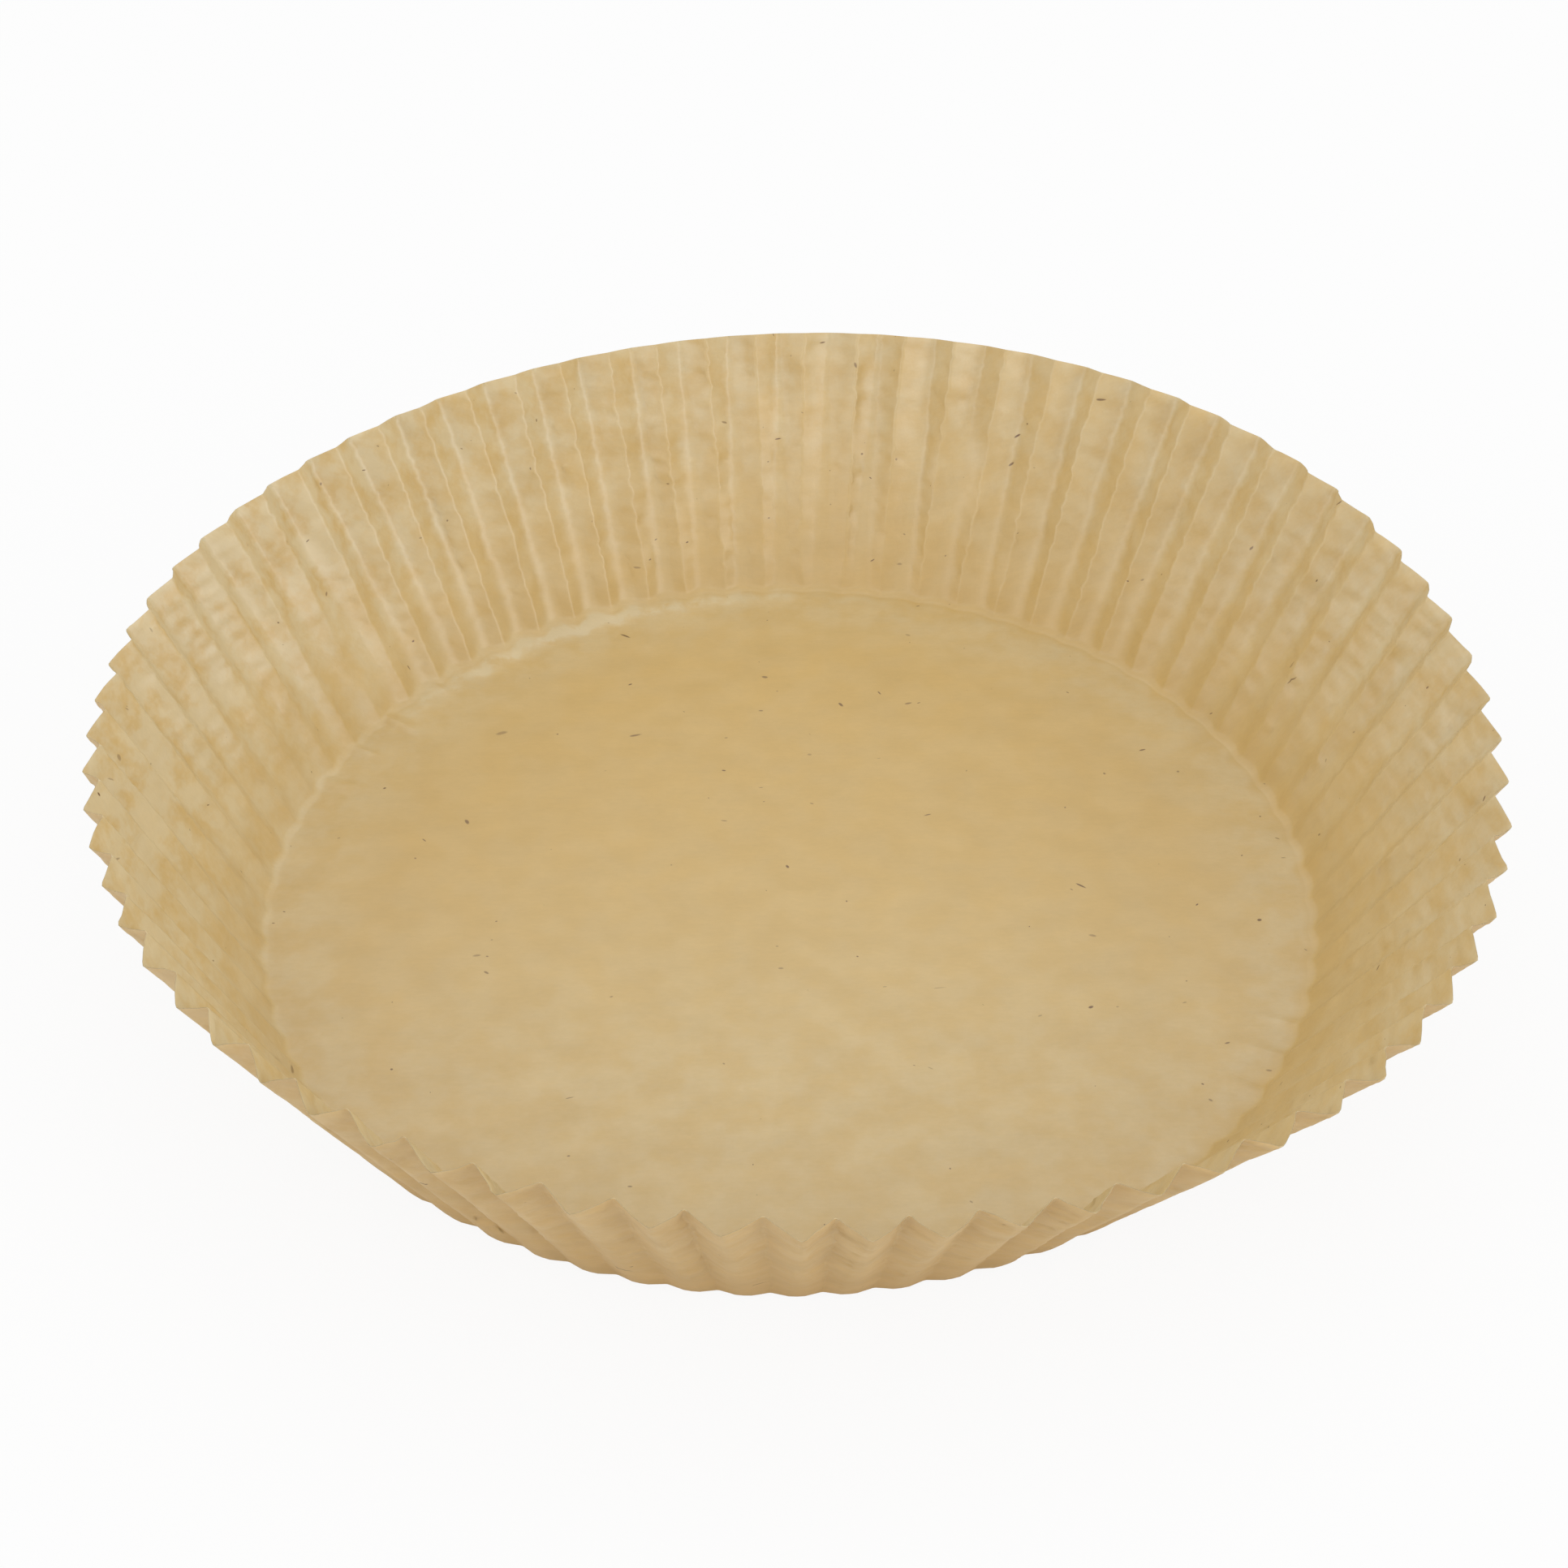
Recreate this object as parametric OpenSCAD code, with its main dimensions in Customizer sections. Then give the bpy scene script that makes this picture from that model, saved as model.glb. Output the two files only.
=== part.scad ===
// Air fryer paper liner: one round sheet of baking paper pressed into a shallow open cup.
// The bottom is flat. The wall leans outwards, and the sheet has more paper up there than
// the cup needs, so the spare paper gathers into flutes that deepen from the fold to the rim.
// Millimetres, +Z up. The underside of the bottom lies on z = 0, centred on the origin.

/* [Sheet] */
// Diameter of the bottom, across the middle of its fold
base_d = 160; // [100:1:240]
// Length of the wall up its slope, from the middle of the fold to the rim
wall_l = 44.5; // [20:0.5:80]
// Thickness of the paper
paper_t = 0.06; // [0.04:0.01:0.3]

/* [Wall] */
// Lean of the wall outwards from upright, in degrees
flare = 29.5; // [12:0.5:50]
// Radius of the fold between the bottom and the wall
fold_r = 1.2; // [0.6:0.1:4]

/* [Flutes] */
// Number of flutes round the wall
flutes = 72; // [36:1:86]
// Width of the blunt outer tip of each flute, as a share of the flute's pitch
outer_tip = 0.2; // [0.06:0.01:0.3]
// Width of the sharper inner tip between two flutes, as a share of the flute's pitch
inner_tip = 0.12; // [0.06:0.01:0.3]

/* [Hidden] */

// Unbleached greaseproof paper
paper_colour = [0.80, 0.69, 0.49];

// Angle that the paper turns through at the fold
rise = 90 - flare;
// Length that the round fold takes off the bottom, and off the wall
fold_cut = fold_r * tan(rise / 2);
// Radius at which the paper leaves the floor
floor_r = base_d / 2 - fold_cut;
// Paper in the fold, and in the straight part of the wall
fold_l = fold_r * rise * PI / 180;
straight_l = wall_l - fold_cut;
// Width of the flat ring at the wall's foot, half of which the bottom's disc fills again
lip_w = 2;

// Rings of points up the wall, as lengths of paper from the floor's edge. They crowd
// towards the fold, where the flutes grow fastest.
wall_rings = 6;
rings = concat(
    [-lip_w, 0, fold_l / 2, fold_l],
    [for (j = [1 : wall_rings]) fold_l + straight_l * pow(j / wall_rings, 1.7)]
);
// Each flute has two points on its outer tip and two on its inner tip
columns = 4 * flutes;

// Angle that the paper has turned through at a length s from the floor's edge
function turn(s) = rise * min(max(s / fold_l, 0), 1);

// Radius of the plain wall at s, before it is fluted
function wall_r(s) =
    floor_r + min(s, 0) + fold_r * sin(turn(s)) + max(s - fold_l, 0) * cos(rise);

// Height of the plain wall at s
function wall_z(s) = fold_r * (1 - cos(turn(s))) + max(s - fold_l, 0) * sin(rise);

// Paper that the flat sheet has round the ring at s, for each length that the plain wall needs
function spare(s) = (floor_r + s) / wall_r(s);

// Depth from outer tip to inner tip. Blunt tips and straight flanks of this depth hold just
// the paper that the sheet has at s.
function depth(s) =
    let (
        pitch = 2 * PI * wall_r(s) / flutes,
        paper = spare(s) - outer_tip - inner_tip,
        run = 1 - outer_tip - inner_tip
    )
    pitch / 2 * sqrt(max(paper * paper - run * run, 0));

// Columns 0 and 1 of a flute stand on its outer tip, and columns 2 and 3 on its inner one
function is_outer(i) = i % 4 < 2;

// Angle of column i about the axis
function column_angle(i) =
    let (
        centre = floor(i / 4) + (is_outer(i) ? 0 : 0.5),
        half_tip = (is_outer(i) ? outer_tip : inner_tip) / 2
    )
    (centre + (i % 2 == 0 ? -half_tip : half_tip)) * 360 / flutes;

// Point of the underside on column i at s. The tips move along the wall's own normal, so
// the outer tips of the rim lie lower than the inner ones.
function under(i, s) =
    let (
        a = column_angle(i),
        push = (is_outer(i) ? -1 : 1) * depth(s) / 2,
        r = wall_r(s) - push * sin(rise)
    )
    [r * cos(a), r * sin(a), wall_z(s) + push * cos(rise)];

function unit(v) = v / norm(v);

// Direction up the paper on column i at ring k
function up(i, k) =
    let (
        low = rings[max(k - 1, 0)],
        high = rings[min(k + 1, len(rings) - 1)],
        a = column_angle(i)
    )
    rings[k] <= 0
        ? [cos(a), sin(a), 0]
        : unit(under(i, high) - under(i, max(low, 0)));

// Offset that lays a second skin one unit inside the first on both of the flanks that
// meet at column i
function inward(i, k) =
    let (
        s = rings[k],
        here = under(i, s),
        u = up(i, k),
        before = unit(cross(u, here - under(i - 1, s))),
        after = unit(cross(u, under(i + 1, s) - here))
    )
    (before + after) / (1 + before * after);

// Number of the point on column i at ring k, on the underside (skin 0) or the top (skin 1)
function at(skin, k, i) = (skin * len(rings) + k) * columns + i % columns;

// Two triangles over four corners, clockwise as seen from outside the paper
function pair(a, b, c, d) = [[a, b, c], [a, c, d]];

// Two triangles of a skin between rings k and k + 1 and columns i and i + 1. Both skins are
// cut along the same diagonal, and a flute's two flanks along mirrored ones.
function patch(skin, k, i) =
    let (
        a = at(skin, k, i),
        b = at(skin, k + 1, i),
        c = at(skin, k + 1, i + 1),
        d = at(skin, k, i + 1),
        seen_below = is_outer(i) ? pair(a, b, c, d) : pair(b, c, d, a)
    )
    skin == 0 ? seen_below : [for (f = seen_below) [f[2], f[1], f[0]]];

module fluted_wall() {
    last = len(rings) - 1;
    // Columns are counted from the second flute, because each one looks at the one before it
    skin_under = [for (k = [0 : last], i = [4 : columns + 3]) under(i, rings[k])];
    skin_top = [for (k = [0 : last], i = [4 : columns + 3])
        under(i, rings[k]) + paper_t * inward(i, k)];
    faces_skins = [for (skin = [0, 1], k = [0 : last - 1], i = [0 : columns - 1])
        each patch(skin, k, i)];
    faces_rim = [for (i = [0 : columns - 1])
        each pair(at(0, last, i), at(1, last, i), at(1, last, i + 1), at(0, last, i + 1))];
    faces_lip = [for (i = [0 : columns - 1])
        each pair(at(0, 0, i + 1), at(1, 0, i + 1), at(1, 0, i), at(0, 0, i))];
    polyhedron(
        points = concat(skin_under, skin_top),
        faces = concat(faces_skins, faces_rim, faces_lip),
        convexity = 10
    );
}

module bottom() {
    cylinder(h = paper_t, r = floor_r - lip_w / 2, $fn = columns);
}

module liner() {
    color(paper_colour)
        union() {
            bottom();
            fluted_wall();
        }
}

liner();
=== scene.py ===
"""Dresses the air fryer paper liner: one sheet of greaseproof paper, pressed into a fluted cup.

The sheet starts as a flat disc of rings and columns of points. The press moves each point to its
place in the cup, and the paper's own patterns stay even on the flat sheet, as they do on real
paper. Everything is in metres, with +Z up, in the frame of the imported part. The letter s is
always a length of paper, outwards from the edge of the floor.
"""

from __future__ import annotations

import logging
import math
import random
from collections.abc import Iterable
from dataclasses import dataclass, field
from enum import Enum

import bmesh
import bpy
from mathutils import Matrix, Vector, noise


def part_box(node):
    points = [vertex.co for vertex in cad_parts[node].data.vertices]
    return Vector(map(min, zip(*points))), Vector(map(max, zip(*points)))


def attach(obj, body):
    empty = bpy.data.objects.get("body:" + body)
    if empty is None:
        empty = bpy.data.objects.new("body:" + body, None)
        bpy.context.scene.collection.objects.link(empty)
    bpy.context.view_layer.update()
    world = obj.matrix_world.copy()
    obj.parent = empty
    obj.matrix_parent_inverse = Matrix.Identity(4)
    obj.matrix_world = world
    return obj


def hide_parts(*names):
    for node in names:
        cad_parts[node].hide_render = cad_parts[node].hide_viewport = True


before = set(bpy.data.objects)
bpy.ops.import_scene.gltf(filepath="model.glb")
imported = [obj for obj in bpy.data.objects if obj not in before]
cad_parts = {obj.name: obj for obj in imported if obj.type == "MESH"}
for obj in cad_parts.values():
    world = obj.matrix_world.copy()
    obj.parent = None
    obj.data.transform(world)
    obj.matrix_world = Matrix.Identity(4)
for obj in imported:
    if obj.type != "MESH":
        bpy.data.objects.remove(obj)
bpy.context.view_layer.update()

LOG = logging.getLogger("liner")
MM = 0.001
FLAT_MAP = "sheet"
BAKE_MAP = "OFBake"
PALING_AND_PAINTED_LIGHT = "paling_and_painted_light"

Sockets = dict[str, bpy.types.NodeSocket]


class Side(Enum):
    """The side of the paper that a face is on, with the number of its material slot."""

    INSIDE = 0
    UNDERSIDE = 1
    CUT_EDGE = 2


class Tip(Enum):
    """A part of a flute's outline that keeps its own sideways shift."""

    OUTER = 0
    FLANK_UP = 1
    INNER = 2
    FLANK_DOWN = 3


class Tone(Enum):
    """The paper's colours, linear: its inside, its underside and its specks."""

    TAN = (0.584, 0.396, 0.137, 1.0)
    PALE = (0.648, 0.527, 0.305, 1.0)
    WARM = (0.56, 0.36, 0.125, 1.0)
    BRIGHT = (0.63, 0.45, 0.21, 1.0)
    BROWN = (0.16, 0.08, 0.03, 1.0)


def smooth(low: float, high: float, value: float) -> float:
    """A soft step.

    Args:
        low: the value at which the step starts.
        high: the value at which it is complete.
        value: where it is read.

    Returns:
        0 below low, 1 above high and a smooth curve between them.
    """
    share = min(max((value - low) / (high - low), 0.0), 1.0)
    return share * share * (3.0 - 2.0 * share)


def hill(distance: float) -> float:
    """A smooth hill that is 1 at distance 0 and 0 from distance 1 on."""
    return 1.0 - smooth(0.0, 1.0, abs(distance))


def turned(azimuth: float, centre_degrees: float) -> float:
    """The angle in degrees from a centre to an azimuth in radians, from -180 to 180."""
    return (math.degrees(azimuth) - centre_degrees + 180.0) % 360.0 - 180.0


def outwards(azimuth: float) -> Vector:
    """The level direction from the cup's axis at an azimuth in radians."""
    return Vector((math.cos(azimuth), math.sin(azimuth), 0.0))


@dataclass(frozen=True)
class Wave:
    """A slow wave round the cup.

    Args:
        times: how many crests it has round the cup.
        height: its height at a crest.
        crest: the azimuth of a crest, in degrees.
    """

    times: int
    height: float
    crest: float

    def at(self, azimuth: float) -> float:
        """The wave's height at an azimuth in radians."""
        return self.height * math.cos(self.times * (azimuth - math.radians(self.crest)))


def together(waves: Iterable[Wave], azimuth: float) -> float:
    """The height of several waves together at an azimuth in radians."""
    return sum(wave.at(azimuth) for wave in waves)


@dataclass(frozen=True)
class Strand:
    """Smooth chance along each flute, which differs from one flute to the next.

    Args:
        size: the length of its waves up the wall.
        flute_step: how far apart in the noise two flutes are.
        part_step: how far apart in the noise the parts of a flute are.
        start: where in the noise it starts.
    """

    size: float
    flute_step: float
    part_step: float = 0.0
    start: float = 0.0

    def at(self, s: float, number: int, part: Tip) -> float:
        """The chance, from about -1 to 1, on a part of the flute with this number."""
        across = self.start + part.value * self.part_step
        return noise.noise(Vector((s / self.size, number * self.flute_step, across)))


@dataclass(frozen=True)
class Stretch:
    """A stretch of the paper with soft ends, each given as a value of s.

    Args:
        start: where it starts.
        full: where it is complete.
        fade: where it starts to end.
        end: where it has ended.
    """

    start: float
    full: float
    fade: float
    end: float

    def at(self, s: float) -> float:
        """How much of the stretch there is at s, from 0 to 1."""
        return smooth(self.start, self.full, s) * (1.0 - smooth(self.fade, self.end, s))


@dataclass(frozen=True)
class Spot:
    """A point of the flat sheet.

    Args:
        radius: its distance from the middle of the sheet.
        column: its number round the sheet.
    """

    radius: float
    column: int


@dataclass(frozen=True)
class Pinch:
    """A small crease that runs from the floor's edge a little way into the floor.

    Args:
        azimuth: where it is, in degrees.
        reach: its length along the floor.
        height: how far it stands up at the floor's edge.
        width: half of its width.
        climb: its length up the wall.
    """

    azimuth: float
    reach: float
    height: float
    width: float
    climb: float = 2.0 * MM


@dataclass(frozen=True)
class Slack:
    """A stretch of the wall where the flutes have opened out.

    Args:
        azimuth: the middle of the stretch, in degrees.
        spread: half of its width, in degrees.
        height: the middle of it, as a value of s.
        reach: half of its length up the wall.
        loss: the share of the flutes' depth that is gone there.
    """

    azimuth: float
    spread: float
    height: float
    reach: float
    loss: float


@dataclass(frozen=True)
class Curl:
    """The stretch where the floor's edge curls up softly into the wall.

    Args:
        azimuth: the middle of the stretch, in degrees.
        spread: half of its width, in degrees.
        reach: how far from the wall the floor starts to rise.
        end: how far past the floor's edge it has risen.
        height: how far it has risen there.
    """

    azimuth: float = 118.0
    spread: float = 42.0
    reach: float = 4.5 * MM
    end: float = 0.5 * MM
    height: float = 0.8 * MM

    def share(self, azimuth: float) -> float:
        """How much of the curl there is at an azimuth in radians, from 0 to 1."""
        return hill(turned(azimuth, self.azimuth) / self.spread)

    def lift(self, azimuth: float, s: float) -> float:
        """How far the curl lifts the paper at a place."""
        return self.height * (self.share(azimuth) * smooth(-self.reach, self.end, s))


@dataclass(frozen=True)
class Crumple:
    """How far the pressed paper strays from a perfect cup.

    Args:
        grown: the value of s from which the wall strays in full.
        tip_shift: how far the tips stand aside, as a share of the pitch.
        tip_wander: how far a tip wanders on its way up, as a share of the pitch.
        wander: the chance that it wanders by.
        depth_spread: how much a flute's depth varies, as a share of it.
        depth: the chance that it varies by.
        dent: the height of the shallow dents.
        dent_size: the size of their waves.
        crinkle: the height of the small crinkles.
        crinkle_size: the length of their waves up the wall.
        crinkle_count: the number of their waves in each metre round the wall's foot.
        ridge_wobble: how far the creases stray from straight lines.
        wobble: the chance that they stray by.
        scallop: how far the flutes' feet bulge into the fold, where it curls up.
        plain_scallop: the share of it elsewhere.
        scallops: where the flutes' feet bulge.
        floor_rise: how far the floor may stand off the table.
        floor_rise_size: the size of its waves.
        floor_calm: the share of the floor's radius from which it settles on the table.
    """

    grown: float = 9.0 * MM
    tip_shift: float = 0.04
    tip_wander: float = 0.045
    wander: Strand = Strand(size=11.0 * MM, flute_step=7.1, part_step=3.3)
    depth_spread: float = 0.13
    depth: Strand = Strand(size=14.0 * MM, flute_step=4.7, start=8.8)
    dent: float = 0.09 * MM
    dent_size: float = 7.0 * MM
    crinkle: float = 0.04 * MM
    crinkle_size: float = 1.9 * MM
    crinkle_count: float = 180.0
    ridge_wobble: float = 0.5 * MM
    wobble: Strand = Strand(size=1.25 * MM, flute_step=5.3, part_step=9.7)
    scallop: float = 1.0 * MM
    plain_scallop: float = 0.4
    scallops: Stretch = Stretch(-4.0 * MM, 0.5 * MM, 1.5 * MM, 11.0 * MM)
    floor_rise: float = 0.5 * MM
    floor_rise_size: float = 38.0 * MM
    floor_calm: float = 0.8


@dataclass(frozen=True)
class Paleness:
    """How pale the paper is, 0 to 1, from creasing and painted light and shade. Starts and ends
    are values of s.

    Args:
        foot: the paleness of the wall's foot, partly painted light against the shade of the fold.
        gain: how much paler the wall gets on its way up.
        gain_start: where it starts to get paler.
        gain_end: where it has got as pale as it gets.
        gain_power: how late it gets paler.
        tip_share: the share that the flutes' inner tips lose and their outer tips gain, for
            a lean of 1.
        sides: painted light: how it changes round the wall, palest at the left wall and least at
            the back and front.
        right_loss: painted shade: what the foot of the wall lacks at the right.
        right_middle: the middle of the part that lacks it.
        right_reach: half of the part's length.
        front: painted light: the paleness of the floor at the front.
        front_start: how far towards the front the floor starts to get paler.
        front_end: how far towards the front it has got as pale as it gets.
        front_power: how late it gets paler.
        edge: painted light: the paleness of the floor's edge, where the wall shades it.
        edge_start: where the floor starts to get paler towards its edge.
        edge_end: where it has got as pale as its edge.
        line_stray: how far the border of floor and wall strays.
        line_count: how often it strays, in each radian.
        line_place: where in the noise it is read.
        border_start: where the floor starts to turn into the wall.
        border_end: where it has turned into it.
        band: the paleness of the narrow band along the fold, crease paling and a painted
            highlight.
        curl_band: how much more of it there is in the curl, where the painted highlight is
            strongest.
        band_inset: how far inwards of the border the band's middle is.
        band_reach: half of the band's width.
    """

    foot: float = 0.42
    gain: float = 0.54
    gain_start: float = 2.0 * MM
    gain_end: float = 38.0 * MM
    gain_power: float = 0.85
    tip_share: float = 0.2
    sides: tuple[Wave, ...] = (Wave(1, 0.2, 180.0), Wave(2, 0.16, 0.0))
    right_loss: float = 0.2
    right_middle: float = 1.0 * MM
    right_reach: float = 7.0 * MM
    front: float = 0.58
    front_start: float = -50.0 * MM
    front_end: float = 45.0 * MM
    front_power: float = 2.4
    edge: float = 0.68
    edge_start: float = -22.0 * MM
    edge_end: float = -3.0 * MM
    line_stray: float = 0.8 * MM
    line_count: float = 16.0
    line_place: tuple[float, float] = (3.3, 7.7)
    border_start: float = -1.2 * MM
    border_end: float = 0.8 * MM
    band: float = 0.75
    curl_band: float = 0.95
    band_inset: float = 1.6 * MM
    band_reach: float = 2.9 * MM

    def wall(self, azimuth: float, s: float, lean: float, soft: float) -> float:
        """The paleness of the wall, with painted light round it and painted shade at its foot on
        the right.

        Args:
            azimuth: where it is read, in radians.
            s: the length of paper there.
            lean: how far inwards of the plain wall the flute stands there.
            soft: how much of the curl there is, from 0 to 1.

        Returns:
            The paleness.
        """
        grown = smooth(self.gain_start, self.gain_end, s) ** self.gain_power
        pale = self.foot + self.gain * grown
        # Painted light round the wall: the left wall paler, the back and front less pale.
        pale = pale * (1.0 - self.tip_share * lean) + together(self.sides, azimuth)
        # Painted shade at the foot of the right wall, outside the curl.
        low = hill((s - self.right_middle) / self.right_reach)
        right = 0.5 + 0.5 * math.cos(azimuth)
        return pale - self.right_loss * (1.0 - soft) * (low * right)

    def floor(self, s: float, forwards: float) -> float:
        """The paleness of the floor at s, at a distance forwards from the middle, which is
        painted light.
        """
        # Painted light on the floor: paler towards the front and towards its edge.
        near = smooth(self.front_start, self.front_end, forwards) ** self.front_power
        return max(self.front * near, self.edge * smooth(self.edge_start, self.edge_end, s))

    def at(self, azimuth: float, s: float, radius: float, lean: float, soft: float) -> float:
        """The paleness of the paper.

        Args:
            azimuth: where it is read, in radians.
            s: the length of paper there.
            radius: the distance from the middle of the flat sheet.
            lean: how far inwards of the plain wall the flute stands there.
            soft: how much of the curl there is, from 0 to 1.

        Returns:
            The paleness.
        """
        wall = self.wall(azimuth, s, lean, soft)
        floor = self.floor(s, -radius * math.sin(azimuth))
        stray = noise.noise(Vector((azimuth * self.line_count, *self.line_place)))
        line = self.line_stray * (stray - lean)
        rest = floor + (wall - floor) * smooth(self.border_start, self.border_end, s - line)
        # The band along the fold is crease paling with a painted highlight, most in the curl.
        middle = hill((s - line + self.band_inset) / self.band_reach)
        return max(rest, middle * (self.band + self.curl_band * soft))


@dataclass
class Flutes:
    """The folds of the wall, and how each column of points takes part in them.

    Args:
        count: the number of flutes round the wall.
        columns: the number of columns of points in a flute.
        outer_tip: the width of the blunt outer tip at the rim, as a share of the pitch.
        outer_foot: the same at the wall's foot.
        inner_tip: the width of the sharp inner tip, as a share of the pitch.
        outer_round: how far the outer tip's corners stand back from its middle.
        inner_round: the same at the inner tip.
        first_tip: the azimuth of the first outer tip, in degrees.
        seed: the number that fixes the flutes' small differences.
    """

    count: int = 72
    columns: int = 10
    outer_tip: float = 0.13
    outer_foot: float = 0.32
    inner_tip: float = 0.08
    outer_round: float = 0.08
    inner_round: float = 0.05
    first_tip: float = 0.4
    seed: int = 11
    shifts: dict[Tip, list[float]] = field(init=False)

    def __post_init__(self) -> None:
        """Draws the sideways shift of each outer and inner tip."""
        draw = random.Random(self.seed)
        outer = [draw.uniform(-1.0, 1.0) for _ in range(self.count)]
        inner = [draw.uniform(-1.0, 1.0) for _ in range(self.count)]
        following = outer[1:] + outer[:1]
        self.shifts = {
            Tip.OUTER: outer,
            Tip.FLANK_UP: [(a + b) / 2 for a, b in zip(outer, inner)],
            Tip.INNER: inner,
            Tip.FLANK_DOWN: [(a + b) / 2 for a, b in zip(inner, following)],
        }

    @property
    def pitch(self) -> float:
        """The angle from one flute to the next."""
        return math.tau / self.count

    @property
    def total(self) -> int:
        """The number of columns round the whole sheet."""
        return self.count * self.columns

    def part(self, column: int) -> Tip:
        """The part of a flute's outline that a column stands on."""
        order = (Tip.OUTER,) * 3 + (Tip.FLANK_UP,) * 2 + (Tip.INNER,) * 3 + (Tip.FLANK_DOWN,) * 2
        return order[(column + 1) % self.columns]

    def number(self, column: int) -> int:
        """The flute that a column belongs to."""
        return (column + 1) // self.columns % self.count

    def lean(self, column: int) -> float:
        """How far inwards a column stands.

        Args:
            column: the column's number.

        Returns:
            Its place across the flutes' depth: -0.5 at an outer tip and 0.5 at an inner one.
        """
        outer, inner = -0.5 + self.outer_round, 0.5 - self.inner_round
        low, high = (2 * outer + inner) / 3, (outer + 2 * inner) / 3
        heights = (outer, -0.5, outer, low, high, inner, 0.5, inner, high, low)
        return heights[(column + 1) % self.columns]

    def outer_width(self, up: float) -> float:
        """The outer tip's width at a share of the way up the wall, as a share of the pitch."""
        return self.outer_foot + (self.outer_tip - self.outer_foot) * up

    def offset(self, column: int, up: float, spare: float) -> float:
        """Where a column stands along its flute.

        Args:
            column: the column's number.
            up: how far up the wall it is read, from 0 to 1.
            spare: the paper that the sheet has, for each length that the plain ring needs. At
                1 the answer is in the bent cup's pitches, and with the ring's own spare paper
                it is in those of the flat sheet.

        Returns:
            The share of a pitch from the flute's outer tip.
        """
        outer = self.outer_width(up) / 2 / spare
        inner = self.inner_tip / 2 / spare
        step = (0.5 - inner - outer) / 3
        places = (
            -outer, 0.0, outer, outer + step, outer + 2 * step,
            0.5 - inner, 0.5, 0.5 + inner, 0.5 + inner + step, 0.5 + inner + 2 * step,
        )
        return places[(column + 1) % self.columns]


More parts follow.
